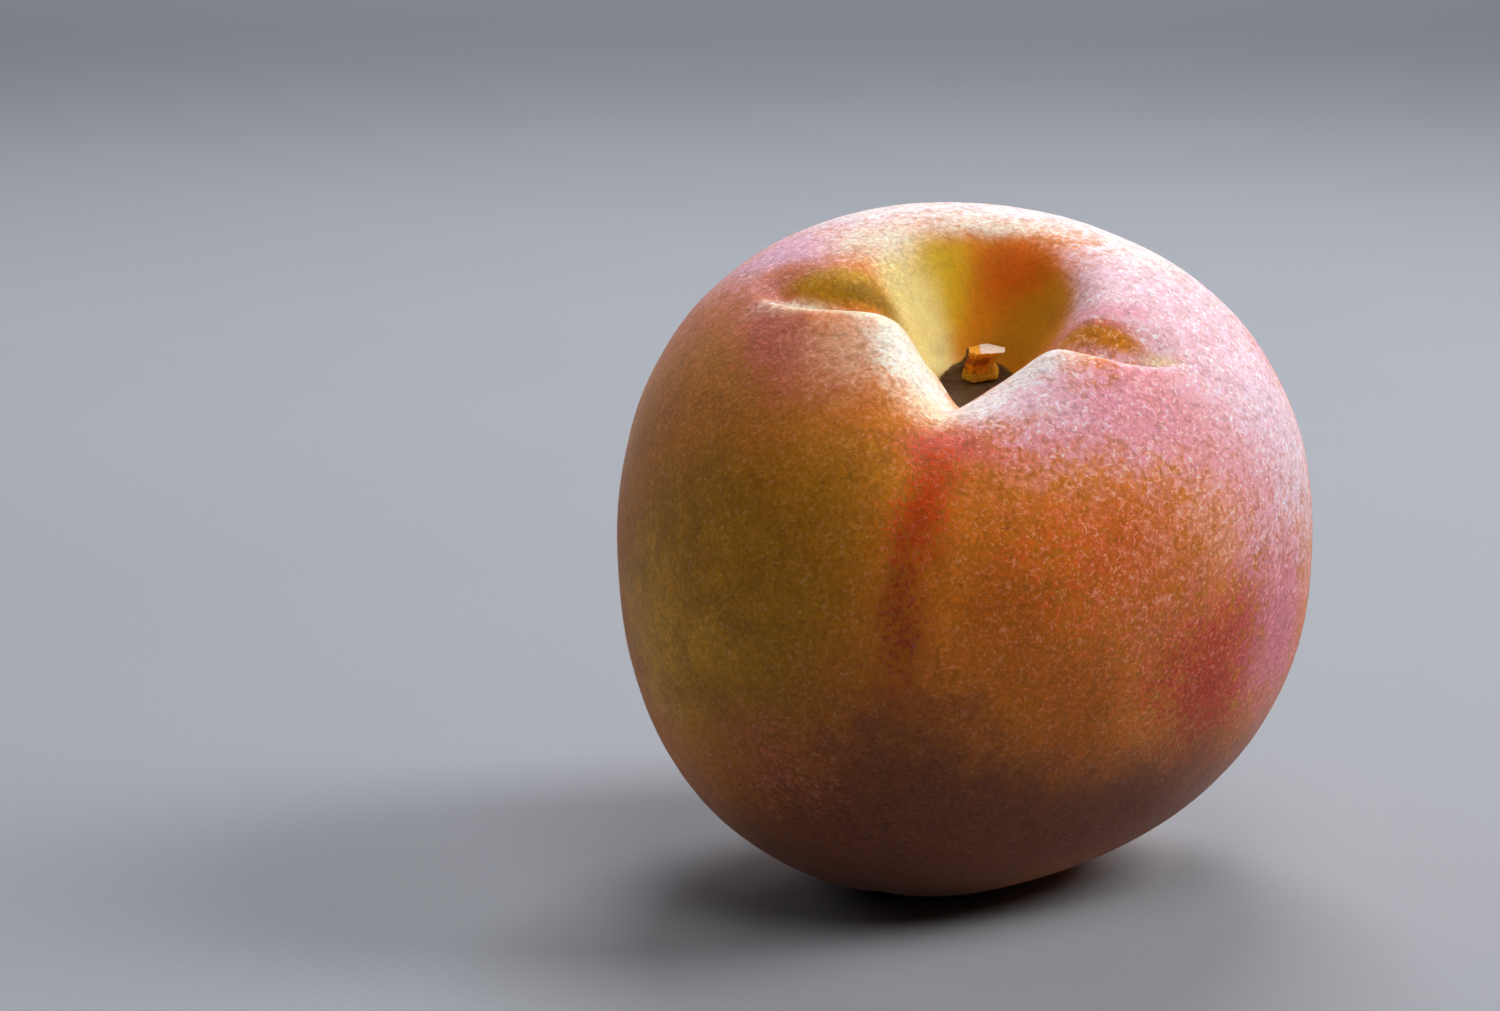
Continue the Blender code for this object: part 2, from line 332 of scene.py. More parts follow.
def flecks_group():
    """Make the group that gives flecks in three sizes and thin curls, all from 0 to 1."""
    outputs = ["Fine", "Medium", "Coarse", "Curls"]
    group, given, found = new_group("flecks", [("Place", "Vector", None)], outputs)
    sizes = {}
    for label, (length, distortion) in FLECK_SIZES.items():
        inputs = {"Vector": given["Place"], "Scale": 1 / length, "Detail": 2, "Distortion": distortion}
        sizes[label] = new_node(group, "ShaderNodeTexNoise", inputs).outputs[0]
        group.links.new(sizes[label], found[label])
    bent = {"Vector": given["Place"], "Scale": 1 / CURL_LENGTH, "W": 7, "Detail": 1, "Distortion": 1.2}
    bent = new_node(group, "ShaderNodeTexNoise", bent, noise_dimensions="4D").outputs[0]
    away = sum_of(group, "ABSOLUTE", sum_of(group, "SUBTRACT", bent, 0.5))
    line = {"Value": away, "From Min": CURL_BREADTH, "From Max": 0.0, "To Min": 0, "To Max": 1}
    line = new_node(group, "ShaderNodeMapRange", line, interpolation_type="SMOOTHSTEP").outputs["Result"]
    gaps = {"Value": sizes["Fine"], "From Min": 0.44, "From Max": 0.58}
    gaps = new_node(group, "ShaderNodeMapRange", gaps, interpolation_type="SMOOTHSTEP").outputs["Result"]
    group.links.new(sum_of(group, "MULTIPLY", line, gaps), found["Curls"])
    return group


def broken_edge_group():
    """Make the group that breaks a soft mask up into flecks, denser where the mask is higher."""
    sockets = [("Flecks", "Float", 0.5), ("Mask", "Float", 0.5), ("Grain", "Float", 1)]
    sockets = sockets + [("Softness", "Float", 0.3)]
    group, given, found = new_group("broken_edge", sockets, ["Amount"])
    centred = sum_of(group, "SUBTRACT", given["Flecks"], 0.5)
    unsure = sum_of(group, "MULTIPLY", given["Mask"], sum_of(group, "SUBTRACT", 1, given["Mask"]))
    shake = sum_of(group, "MULTIPLY", sum_of(group, "MULTIPLY", unsure, 4), given["Grain"])
    shaken = sum_of(group, "MULTIPLY_ADD", centred, shake, given["Mask"])
    low = sum_of(group, "SUBTRACT", 0.5, given["Softness"])
    high = sum_of(group, "ADD", 0.5, given["Softness"])
    inputs = {"Value": shaken, "From Min": low, "From Max": high}
    amount = new_node(group, "ShaderNodeMapRange", inputs, interpolation_type="SMOOTHSTEP")
    group.links.new(amount.outputs["Result"], found["Amount"])
    return group


FLECKS = flecks_group()
BROKEN_EDGE = broken_edge_group()


def broken_edge(tree, flecks, mask, grain, softness):
    """Place the broken edge group in a material and return its amount."""
    node = new_node(tree, "ShaderNodeGroup", node_tree=BROKEN_EDGE)
    link_inputs(tree, node, {"Flecks": flecks, "Mask": mask, "Grain": grain, "Softness": softness})
    return node.outputs["Amount"]


def coated(tree, below, colour, amount):
    """Lay a colour over another by this amount, and return the result."""
    mix = new_node(tree, "ShaderNodeMix", {"Factor": amount, "A": below, "B": (*colour, 1)}, data_type="RGBA")
    return mix.outputs["Result"]


def mask_of(tree, name):
    """Return the value of a point attribute."""
    return new_node(tree, "ShaderNodeAttribute", attribute_name=name).outputs["Fac"]


# Coats of the skin from the ground up: the colour, the size of its flecks, how strongly they break its edge
# up, and its patches. Each patch has its middle, half size, strength, tilt in degrees and hardness of edge.
# Those of the sides are placed by turn and polar angle in degrees, and their half size is an arc.
GROUND = (0.82, 0.235, 0.012)
SIDE_COATS = {
    "back_gold": ((0.84, 0.3, 0.03), "Coarse", 1.4, (
        ((180, 95), (60, 50), 0.8, 0, 1),
        ((-115, 120), (30, 20), 0.6, 0, 1),
    )),
    "back_red": ((0.7, 0.1, 0.035), "Medium", 1.8, (
        ((140, 82), (34, 30), 0.85, 15, 1),
        ((-160, 70), (26, 18), 0.7, -20, 1),
        ((105, 112), (26, 20), 0.75, 0, 1),
        ((-125, 92), (20, 26), 0.5, 0, 1),
    )),
    "back_salmon": ((0.92, 0.38, 0.24), "Medium", 1.8, (
        ((180, 52), (60, 13), 0.8, 0, 1),
        ((120, 62), (24, 16), 0.8, 0, 1),
        ((-120, 58), (24, 12), 0.6, 0, 1),
    )),
    "left_gold": ((0.68, 0.25, 0.008), "Medium", 0.8, (((-32, 44), (13, 12), 0.9, 0, 1),)),
    "olive_side": ((0.5, 0.21, 0.007), "Medium", 0.6, (((-47, 67), (27, 26), 1, 0, 1.6),)),
    "olive_light": ((0.76, 0.35, 0.018), "Coarse", 1.0, (((-56, 80), (18, 17), 0.85, 0, 1),)),
    "brown_side": ((0.58, 0.2, 0.015), "Medium", 0.9, (
        ((-82, 55), (15, 24), 0.9, 0, 1),
        ((-60, 42), (16, 6), 0.7, 0, 1),
        ((-75, 95), (20, 16), 0.6, 0, 1),
    )),
    "low_gold": ((0.66, 0.165, 0.007), "Medium", 0.8, (
        ((5, 58), (7, 12), 0.8, -8, 1),
        ((18, 80), (9, 16), 0.9, -12, 1),
    )),
    "orange_cheek": ((0.8, 0.145, 0.012), "Medium", 2.2, (
        ((28, 52), (17, 15), 0.75, 0, 1),
        ((42, 74), (14, 14), 0.8, 0, 1),
        ((100, 105), (40, 30), 0.7, 0, 1),
        ((-150, 100), (40, 26), 0.5, 0, 1),
    )),
    "salmon_cheek": ((0.9, 0.32, 0.17), "Medium", 1.9, (
        ((30, 37), (20, 7), 0.6, 0, 1),
        ((57, 52), (12, 20), 0.75, 0, 1),
        ((38, 60), (17, 18), 0.3, 0, 1),
        ((130, 70), (34, 22), 0.7, 0, 1),
    )),
    "lower_red": ((0.62, 0.055, 0.012), "Medium", 2.1, (
        ((47, 85), (11, 17), 0.88, -18, 1),
        ((56, 78), (8, 14), 0.5, 0, 1),
        ((115, 100), (24, 20), 0.7, 0, 1),
        ((-150, 80), (24, 18), 0.6, 0, 1),
    )),
    "violet_edge": ((0.77, 0.2, 0.26), "Medium", 1.2, (
        ((69, 84), (12, 25), 0.92, -6, 1),
        ((-135, 60), (20, 18), 0.4, 0, 1),
    )),
    # painted shade: a dark dusky coat under the fruit, toward its front and lower right
    "painted_shade_under": ((0.21, 0.062, 0.027), "Coarse", 0.6, (
        ((-10, 104), (30, 24), 0.95, 0, 1.4),
        ((-12, 80), (18, 16), 0.55, 0, 1),
        ((-45, 120), (40, 20), 0.55, 0, 1),
        ((28, 108), (28, 18), 0.9, 0, 1),
        ((62, 122), (40, 18), 0.8, 0, 1),
    )),
    "left_blush": ((0.6, 0.14, 0.075), "Fine", 1.8, (
        ((-78, 34), (21, 7), 0.95, 0, 1),
        ((-104, 48), (12, 18), 0.5, 0, 1),
        ((-33, 88), (12, 11), 0.4, 0, 1),
    )),
    "pink_side": ((0.95, 0.42, 0.48), "Medium", 1.1, (
        ((71, 50), (14, 24), 0.85, 0, 1),
        ((58, 36), (15, 9), 0.7, 0, 1),
        ((112, 62), (22, 24), 0.7, 0, 1),
        ((165, 48), (50, 9), 0.6, 0, 1),
    )),
    # pink white, painted rim light along the right side and behind it
    "side_rim_light": ((0.97, 0.66, 0.78), "Medium", 0.9, (
        ((86, 54), (14, 28), 0.85, 0, 1),
        ((130, 44), (30, 9), 0.75, 0, 1),
    )),
    "lobe_rose": ((0.93, 0.36, 0.42), "Medium", 1.5, (
        ((30, 31), (18, 6.5), 0.9, 0, 1),
        ((50, 37), (12, 7), 0.5, 0, 1),
    )),
    "suture_pink": ((0.88, 0.19, 0.14), "Fine", 1.4, (
        ((-11, 35), (5.5, 4), 0.9, 0, 1),
        ((3, 35), (6, 3), 0.5, 0, 1),
    )),
    "suture_red": ((0.88, 0.1, 0.004), "Fine", 2.0, (((-13, 43), (4.4, 10), 0.85, 0, 1),)),
    "suture_crimson": ((0.44, 0.06, 0.006), "Fine", 2.2, (((-14, 60), (3.8, 13), 0.62, 0, 1),)),
    "blossom_scar": ((0.2, 0.1, 0.04), "Fine", 1.2, (((0, 180), (3.5, 3.5), 1, 0, 2),)),
}

# Those of the top are placed in millimetres to the right of the stem axis and behind it, seen from above.
TOP_COATS = {
    "top_pink": ((0.97, 0.6, 0.7), "Medium", 1.0, (
        ((17, 4), (11, 12), 0.9, 0, 1.5),
        ((3, -15.5), (9, 4.6), 0.9, 8, 1.2),
        ((-14, 17), (12, 7), 0.7, 0, 1),
    )),
    "top_rose": ((0.92, 0.36, 0.46), "Medium", 1.1, (
        ((12, -14), (9, 4), 0.55, -8, 1),
        ((13, 0.2), (6, 1.8), 0.7, 0, 1),
    )),
    "top_lilac": ((0.8, 0.4, 0.54), "Medium", 0.8, (((-21, 11), (7, 7), 0.9, 0, 1),)),
    # painted rim light: nearly white where the fuzz on the top glows against the lights behind
    "top_rim_light": ((0.98, 0.88, 0.9), "Medium", 1.2, (
        ((5, 20.5), (19, 6), 0.85, 0, 1),
        ((19, 16), (9, 8), 0.7, 0, 1),
        ((-12, 21), (9, 5), 0.5, 0, 1),
    )),
    "top_beige": ((0.96, 0.76, 0.6), "Medium", 0.9, (
        ((-10, 11), (7, 5), 0.85, 0, 1),
        ((1, 15.2), (7, 2.4), 0.75, 0, 1),
    )),
    "lobe_beige": ((0.8, 0.41, 0.25), "Medium", 1.1, (((-13, -9.5), (6.5, 7), 0.8, 0, 1),)),
    # painted highlight: cream on the lit edges of the left lobe beside the notch and along the left crease
    "lobe_highlight": ((0.98, 0.93, 0.8), "Medium", 0.8, (
        ((-7.6, -8), (4.6, 7), 0.97, 15, 1.3),
        ((-19, 0), (4.5, 1.6), 0.8, 0, 1),
        ((-6, -12), (4, 3.6), 0.6, 0, 1),
    )),
    "lobe_peach": ((0.96, 0.68, 0.45), "Medium", 0.8, (((-5.5, -16.5), (4, 3), 0.8, 0, 1),)),
    # painted highlight: near white along the lip of the right crease and on the right lobe beside the notch
    "right_lip_highlight": ((0.98, 0.88, 0.9), "Medium", 0.7, (
        ((8, -7.8), (8, 1.5), 0.9, 3, 1.3),
        ((-1, -15.5), (3, 3), 0.8, 25, 1),
        ((4, -11), (6, 3), 0.85, 20, 1),
    )),
    "green_tint": ((0.8, 0.72, 0.12), "Coarse", 0.3, (((-6.3, -4), (2.4, 4.5), 0.7, 0, 1),)),
    "cavity_gold": ((0.83, 0.3, 0.006), "Medium", 0.3, (((0.3, 4.6), (9.2, 9.2), 1, 0, 5),)),
    "cavity_orange": ((0.8, 0.17, 0.003), "Coarse", 0.3, (((4, 10.5), (5, 3.4), 0.9, -12, 1.3),)),
    "cavity_ochre": ((0.64, 0.29, 0.01), "Coarse", 0.3, (((4.8, 4), (4.6, 3.6), 0.9, 0, 1.3),)),
    "cavity_yellow": ((0.8, 0.54, 0.015), "Coarse", 0.3, (((-4.5, 8.5), (4, 5), 0.85, 0, 1.3),)),
    "ridge_cream": ((0.92, 0.76, 0.3), "Coarse", 0.3, (
        ((-7.6, 5), (3.9, 5.5), 0.9, 0, 1.3),
        ((-4.2, 2.5), (2.2, 4.5), 0.85, 0, 1.2),
    )),
    # painted highlight: a cream line along the lip of the left crease
    "left_lip_highlight": ((0.98, 0.86, 0.62), "Medium", 0.6, (((-14, -4), (8.5, 1.7), 0.9, -15, 1.2),)),
    # The left crease is olive gold, darkened as painted shade in the fold and darkest in its deep part.
    "left_fold_shaded": ((0.6, 0.3, 0.004), "Medium", 0.3, (((-15, 3.2), (6, 2.6), 1, -4, 1.8),)),
    "left_fold_deep_shade": ((0.36, 0.18, 0.002), "Coarse", 0.3, (((-12, 2.4), (4.2, 1.4), 0.85, -4, 1.2),)),
    "left_fold_end": ((0.62, 0.17, 0.06), "Medium", 0.7, (((-20.5, 6), (4.5, 2.2), 0.8, -10, 1),)),
    "right_fold": ((0.74, 0.27, 0.01), "Medium", 0.3, (((12, -3.1), (5.2, 1.25), 1, -16, 1.8),)),
    "right_fold_red": ((0.74, 0.17, 0.08), "Medium", 0.5, (((12, -1.7), (5.5, 0.8), 0.7, -14, 1),)),
    "right_fold_end": ((0.95, 0.66, 0.4), "Medium", 0.4, (((18, -5.4), (2.6, 1), 0.8, 0, 1),)),
}
# The pit's floor is painted very dark brown: a dry scar, darkened further as painted shade in the deep gap
# round the stub.
PIT_FLOOR_COLOUR = (0.115, 0.06, 0.018)
# The pale coats are the pink blush coats and the painted highlights and rim light; the hairs there are longer
# and nearly white.
PALE_COATS = (
    "pink_side", "lobe_rose", "side_rim_light", "top_pink", "top_rose", "top_lilac", "top_rim_light", "lobe_highlight",
    "right_lip_highlight",
)
SPECK_RED = (0.42, 0.06, 0.015)
SPECK_SPACING = 2.6 * MM
COAT_SOFTNESS = 0.45
STIPPLE_STRENGTH = 0.9
BLOTCH_STRENGTH = 0.7
CLOUD_STRENGTH = 0.4
COAT_WANDER = 2.5 * DEG
COAT_WANDER_LENGTH = 6 * MM


def skin_masks(polar, turn):
    """Return the masks of the skin's coats, each from 0 to 1, with edges that wander a little."""
    radius = body_radius(polar, turn)
    reach = radius * np.sin(polar)
    place = np.stack([reach * np.sin(turn), -reach * np.cos(turn), radius * np.cos(polar)], -1)
    wander = COAT_WANDER * noise_at(place, COAT_WANDER_LENGTH)
    sideways = COAT_WANDER * noise_at(place + 1, COAT_WANDER_LENGTH)
    masks = {}
    for name, coat in SIDE_COATS.items():
        clear = np.ones_like(polar)
        for middle, size, strength, tilt, hardness in coat[3]:
            arc = ((turn - middle[0] * DEG + math.pi) % math.tau - math.pi) * np.sin(polar) + sideways
            down = polar + wander - middle[1] * DEG
            clear = clear * (1 - patches(arc / DEG, down / DEG, (((0, 0), size, strength, tilt, hardness),)))
        masks[name] = 1 - clear
    x = (place[:, 0] + MEAN_RADIUS * sideways * 0.5) / MM
    y = (place[:, 1] + MEAN_RADIUS * wander * 0.5) / MM
    near = polar < math.pi / 2
    for name, coat in TOP_COATS.items():
        masks[name] = patches(x, y, coat[3]) * near
    masks["pit_floor_dark"] = (1 - beyond_pit(reach, turn)) * near
    cavity = masks["cavity_gold"]
    masks["hairy"] = (1 - masks["pit_floor_dark"]) * (1 - 0.75 * cavity) * (1 - masks["blossom_scar"])
    masks["pale"] = 1 - (1 - cavity) * np.prod([1 - masks[name] for name in PALE_COATS], axis=0)
    masks["pale"] = np.clip(masks["pale"] - cavity, 0, 1)
    glowing = np.maximum(masks["salmon_cheek"], masks["orange_cheek"])
    masks["curly"] = np.clip(0.3 + 0.8 * masks["pale"] + 0.5 * glowing, 0, 1) * (1 - cavity) * masks["hairy"]
    return masks


def specks(tree, place, amount):
    """Return a mask of small sparse specks, which break up where the amount is low."""
    dots = {"Vector": place, "Scale": 1 / SPECK_SPACING, "Randomness": 1}
    dots = new_node(tree, "ShaderNodeTexVoronoi", dots)
    dot = {"Value": dots.outputs["Distance"], "From Min": 0.1, "From Max": 0.06}
    dot = new_node(tree, "ShaderNodeMapRange", dot, interpolation_type="SMOOTHSTEP").outputs["Result"]
    lucky = new_node(tree, "ShaderNodeSeparateColor", {"Color": dots.outputs["Color"]}).outputs["Red"]
    kept = sum_of(tree, "LESS_THAN", lucky, amount)
    return sum_of(tree, "MULTIPLY", dot, kept)


def peach_skin():
    """Make the skin's material: coats of colour in flecks, under a velvet of fine hairs."""
    material = bpy.data.materials.new("peach_skin")
    material.use_nodes = True
    tree = material.node_tree
    place = new_node(tree, "ShaderNodeTexCoord").outputs["Object"]
    flecks = new_node(tree, "ShaderNodeGroup", {}, node_tree=FLECKS)
    link_inputs(tree, flecks, {"Place": place})
    colour = (*GROUND, 1)
    for name, coat in (SIDE_COATS | TOP_COATS).items():
        amount = broken_edge(tree, flecks.outputs[coat[1]], mask_of(tree, name), coat[2], COAT_SOFTNESS)
        colour = coated(tree, colour, coat[0], amount)
    pit_dark = broken_edge(tree, flecks.outputs["Fine"], mask_of(tree, "pit_floor_dark"), 0.8, 0.3)
    colour = coated(tree, colour, PIT_FLOOR_COLOUR, pit_dark)
    speck = specks(tree, place, sum_of(tree, "MULTIPLY", mask_of(tree, "orange_cheek"), 0.6))
    colour = coated(tree, colour, SPECK_RED, sum_of(tree, "MULTIPLY", speck, 0.7))
    curl = sum_of(tree, "MULTIPLY", flecks.outputs["Curls"], mask_of(tree, "curly"))
    lighter = {"Color": colour, "Saturation": 0.72, "Value": 1.42}
    lighter = new_node(tree, "ShaderNodeHueSaturation", lighter).outputs["Color"]
    colour = new_node(tree, "ShaderNodeMix", {"Factor": curl, "A": colour, "B": lighter}, data_type="RGBA")
    grain = sum_of(tree, "MULTIPLY", mask_of(tree, "hairy"), STIPPLE_STRENGTH)
    stipple = sum_of(tree, "MULTIPLY_ADD", sum_of(tree, "SUBTRACT", flecks.outputs["Fine"], 0.5), grain, 1)
    blotch = sum_of(tree, "MULTIPLY", sum_of(tree, "SUBTRACT", flecks.outputs["Medium"], 0.5), grain)
    cloud = sum_of(tree, "SUBTRACT", flecks.outputs["Coarse"], 0.5)
    cloud = sum_of(tree, "MULTIPLY_ADD", cloud, CLOUD_STRENGTH, stipple)
    value = sum_of(tree, "MULTIPLY_ADD", blotch, BLOTCH_STRENGTH, cloud)
    shade = {"Color": colour.outputs["Result"], "Value": value}
    shade = new_node(tree, "ShaderNodeHueSaturation", shade).outputs["Color"]
    rough = sum_of(tree, "MULTIPLY_ADD", flecks.outputs["Medium"], 0.25, 0.5)
    bump = {"Height": flecks.outputs["Fine"], "Strength": 0.55, "Distance": 0.14 * MM}
    bump = new_node(tree, "ShaderNodeBump", bump)
    link_inputs(tree, tree.nodes["Principled BSDF"], {
        "Base Color": shade,
        "Roughness": rough,
        "Normal": bump.outputs["Normal"],
        "Specular IOR Level": 0.18,
        "Subsurface Weight": 0.55,
        "Subsurface Radius": (1, 0.42, 0.16),
        "Subsurface Scale": 3.2 * MM,
        "Sheen Weight": 0.22,
        "Sheen Roughness": 0.4,
        "Sheen Tint": (1, 0.85, 0.88, 1),
    })
    return material


def map_grid(piece, segments, rings):
    """Lay the piece's bake map out with the turn across and the rings down."""
    mesh = piece.data
    corner = np.empty(len(mesh.loops), np.int64)
    mesh.loops.foreach_get("vertex_index", corner)
    face_of_corner = np.repeat(np.arange(len(mesh.polygons)), [len(face.vertices) for face in mesh.polygons])
    ring, step = np.divmod(corner - 1, segments)
    pole = (corner == 0) | (corner == segments * rings + 1)
    ring = np.where(corner == 0, -1, ring)
    quads = segments * (rings - 1)
    first = np.where(face_of_corner < quads, face_of_corner % segments, (face_of_corner - quads) % segments)
    step = np.where(pole, first + 0.5, step)
    step = np.where(step < first, step + segments, step)
    places = np.stack([0.01 + 0.98 * step / segments, 0.99 - 0.98 * (ring + 1) / (rings + 1)], -1)
    layer = mesh.uv_layers.new(name="OFBake")
    layer.uv.foreach_set("vector", places.astype(np.float32).ravel())


RINGS = len(ring_polars())
polar, turn = skin_grid()
masks = skin_masks(polar, turn)
skin_world = in_world(skin_points(polar, turn))
skin_world[:, 2] = np.maximum(skin_world[:, 2], 0)
fruit = mesh_piece("fruit_skin", skin_world, grid_faces(RINGS, SEGMENTS), peach_skin(), masks)
map_grid(fruit, SEGMENTS, RINGS)
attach(fruit, "root")
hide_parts("peach_fruit")

# Stub of the stalk: dry wood that grew out of the pit's floor, flaring to a wider foot. It snapped off short,
# so it has blunt corners, a dark reddish band, darker gum spots and a thin slanted break that is pale on the
# right, where it overhangs. Its right side is painted yellow as a highlight; its left face is painted dark,
# and the break's left part keeps the bark colour, as painted shade.

STUB_GAP = 0.3 * MM
STUB_SET_BACK = 0.9 * MM
STUB_LEVELS = (
    (2.2, 0.0), (2.16, 0.3), (1.98, 0.7), (1.84, 1.3), (1.86, 1.9), (1.95, 2.3), (2.1, 2.6), (2.38, 2.82),
    (2.36, 3.0),
)
STUB_TOP_SLOPE = 0.42
STUB_BEND = 0.35 * MM
STUB_LEAN = 0.22 * MM
STUB_LEFT_TRIM = 0.42 * MM
STUB_LEFT_SLOPE = 0.13
STUB_SEGMENTS = 144
STUB_RINGS = 60
STUB_FACETS = (-128, -58, -22, 58, 112, 170)
BREAK_RIM = 0.07 * MM
BREAK_RINGS = (0.985, 0.94, 0.86, 0.68, 0.45, 0.2)
BREAK_GRAIN = (0.09 * MM, 0.5 * MM)
FIBRES = (0.06 * MM, 0.42 * MM)
KNOTS = (0.2 * MM, 1.1 * MM)
STUB_BARK = (0.85, 0.34, 0.008)
STUB_FOOT = (0.66, 0.39, 0.03)
STUB_GUM = (0.2, 0.055, 0.008)
STUB_BAND = (0.44, 0.12, 0.006)
STUB_PAINTED_LIGHT = (0.74, 0.42, 0.03)
STUB_PAINTED_SHADE = (0.08, 0.035, 0.015)
STUB_BREAK = (0.84, 0.64, 0.52)


def stub_outline(turn):
    """Return the share of the radius at this turn of an uneven outline with blunt corners."""
    corners = np.radians(np.array(STUB_FACETS, float))
    outline = np.full_like(turn, 9.0)
    for first, second in zip(corners, np.append(corners[1:], corners[0] + math.tau)):
        middle = (first + second) / 2
        off = (turn - middle + math.pi) % math.tau - math.pi
        flat = math.cos((second - first) / 2) / np.maximum(np.cos(off), 0.15)
        outline = np.minimum(outline, flat)
    return np.minimum(outline, 1)


def stub_points():
    """Return the stub's points in the fruit's frame, and its masks."""
    heights = [level[1] * MM for level in STUB_LEVELS]
    radii = [level[0] * MM for level in STUB_LEVELS]
    top = heights[-1]
    floor = skin_points(np.array([0.0]), np.array([0.0]))[0, 2] + STUB_GAP
    share = np.arange(STUB_RINGS) / (STUB_RINGS - 1)
    height = np.repeat(np.concatenate([share * top, np.full(len(BREAK_RINGS), top)]), STUB_SEGMENTS)
    inward = np.repeat(np.concatenate([np.ones(STUB_RINGS), BREAK_RINGS]), STUB_SEGMENTS)
    turn = np.tile(math.tau * np.arange(STUB_SEGMENTS) / STUB_SEGMENTS, STUB_RINGS + len(BREAK_RINGS))
    radius = np.interp(height, heights, radii)
    rise = (height / top) ** 3
    cut = inward < 1
    probe = np.stack([3 * np.cos(turn), 3 * np.sin(turn), height / MM * 0.25], -1) * MM
    fibre = noise_at(probe, FIBRES[1])
    knots = noise_at(np.stack([np.cos(turn) * 2, np.sin(turn) * 2, height / MM], -1) * MM, KNOTS[1])
    radius = radius - STUB_LEFT_TRIM * rise * soft_step(-np.sin(turn), -0.2, 0.8)
    bark = radius * stub_outline(turn) + FIBRES[0] * fibre + KNOTS[0] * knots * (1 - 0.6 * rise)
    x = bark * inward * np.sin(turn)
    y = -bark * inward * np.cos(turn)
    break_rough = noise_at(np.stack([x, y, 0 * x + 3], -1), BREAK_GRAIN[1])
    z = floor + height + (STUB_LEFT_SLOPE * np.minimum(x, 0) - STUB_TOP_SLOPE * y) * rise
    z = z + np.where(cut, BREAK_GRAIN[0] * break_rough - BREAK_RIM * (inward < 0.9), 0)
    sway = STUB_BEND * rise - STUB_LEAN * np.sin(math.pi * height / top)
    points = np.stack([x + sway, y + STUB_SET_BACK, z], -1)
    sole = np.array([[0, STUB_SET_BACK, floor]])
    crown = points[-STUB_SEGMENTS:].mean(0, keepdims=True)
    points = np.concatenate([crown, points[::-1].reshape(-1, 3), sole])
    low = 1 - soft_step(height / MM, 0.4, 1.4)
    # The left face is painted dark as shade, the break is pale only on its right so that its left part keeps
    # the bark colour as painted shade, and the right side is painted yellow as a highlight.
    dark = soft_step(-np.sin(turn), 0.72, 0.95) * (1 - cut)
    pale = cut * soft_step(x / MM, -0.75, -0.15)
    band = np.exp(-(((height / MM - 2.15) / 0.42) ** 2)) * (1 - cut)
    band = band * (1 - soft_step(np.sin(turn), 0.55, 0.8))
    painted_light_right = soft_step(np.sin(turn), 0.4, 0.75) * (1 - cut)
    masks = {"cut": pale, "low": low, "painted_shade_left": dark, "band": band, "painted_light_right": painted_light_right}
    masks["fibre"] = 0.5 + 0.5 * fibre
    for name, value in masks.items():
        masks[name] = np.concatenate([[value[-1]], value[::-1], [value[0]]])
    return points, masks


def noise_of(tree, place, length, detail):
    """Return the value of a noise texture with spots of about this length."""
    inputs = {"Vector": place, "Scale": 1 / length, "Detail": detail}
    return new_node(tree, "ShaderNodeTexNoise", inputs).outputs[0]


def stalk_wood():
    """Make the stub's dry wood: brown orange with darker spots, a yellow brown foot and a pale break, with a
    painted highlight on the right side and painted shade on the left face.
    """
    material = bpy.data.materials.new("stalk_wood")
    material.use_nodes = True
    tree = material.node_tree
    place = new_node(tree, "ShaderNodeTexCoord").outputs["Object"]
    spots = noise_of(tree, place, 0.55 * MM, 3)
    grain = noise_of(tree, place, 0.16 * MM, 2)
    colour = (*STUB_BARK, 1)
    for coat, mask, flecks, strength, softness in (
        (STUB_FOOT, mask_of(tree, "low"), spots, 1.2, 0.3),
        (STUB_GUM, 0.28, spots, 1.9, 0.15),
        (STUB_BAND, mask_of(tree, "band"), spots, 1.3, 0.35),
        # painted highlight on the right side, then painted shade on the left face
        (STUB_PAINTED_LIGHT, mask_of(tree, "painted_light_right"), spots, 1.0, 0.4),
        (STUB_PAINTED_SHADE, mask_of(tree, "painted_shade_left"), spots, 0.8, 0.3),
        (STUB_BREAK, mask_of(tree, "cut"), grain, 0.5, 0.3),
    ):
        colour = coated(tree, colour, coat, broken_edge(tree, flecks, mask, strength, softness))
    value = sum_of(tree, "MULTIPLY_ADD", grain, 0.9, 0.55)
    shade = new_node(tree, "ShaderNodeHueSaturation", {"Color": colour, "Value": value}).outputs["Color"]
    ridges = sum_of(tree, "MULTIPLY_ADD", mask_of(tree, "fibre"), 0.8, grain)
    bump = new_node(tree, "ShaderNodeBump", {"Height": ridges, "Strength": 0.6, "Distance": 0.08 * MM})
    link_inputs(tree, tree.nodes["Principled BSDF"], {
        "Base Color": shade,
        "Roughness": sum_of(tree, "MULTIPLY_ADD", spots, 0.3, 0.5),
        "Normal": bump.outputs["Normal"],
        "Specular IOR Level": 0.3,
    })
    return material


stub_local, stub_masks = stub_points()
stub = mesh_piece(
    "stalk_stub",
    in_world(stub_local),
    grid_faces(STUB_RINGS + len(BREAK_RINGS), STUB_SEGMENTS),
    stalk_wood(),
    stub_masks,
)

# The stub's points run round the other way from the fruit's, so its faces are turned to face out.
stub.data.flip_normals()
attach(stub, "root")
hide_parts("stem_stub")

# Fuzz: short stiff hairs that grow all over the skin, thinner in the cavity and missing in the pit. They lean
# away from the stem in small tufts, and are clear at the tip, so they show as a pale veil in the light.

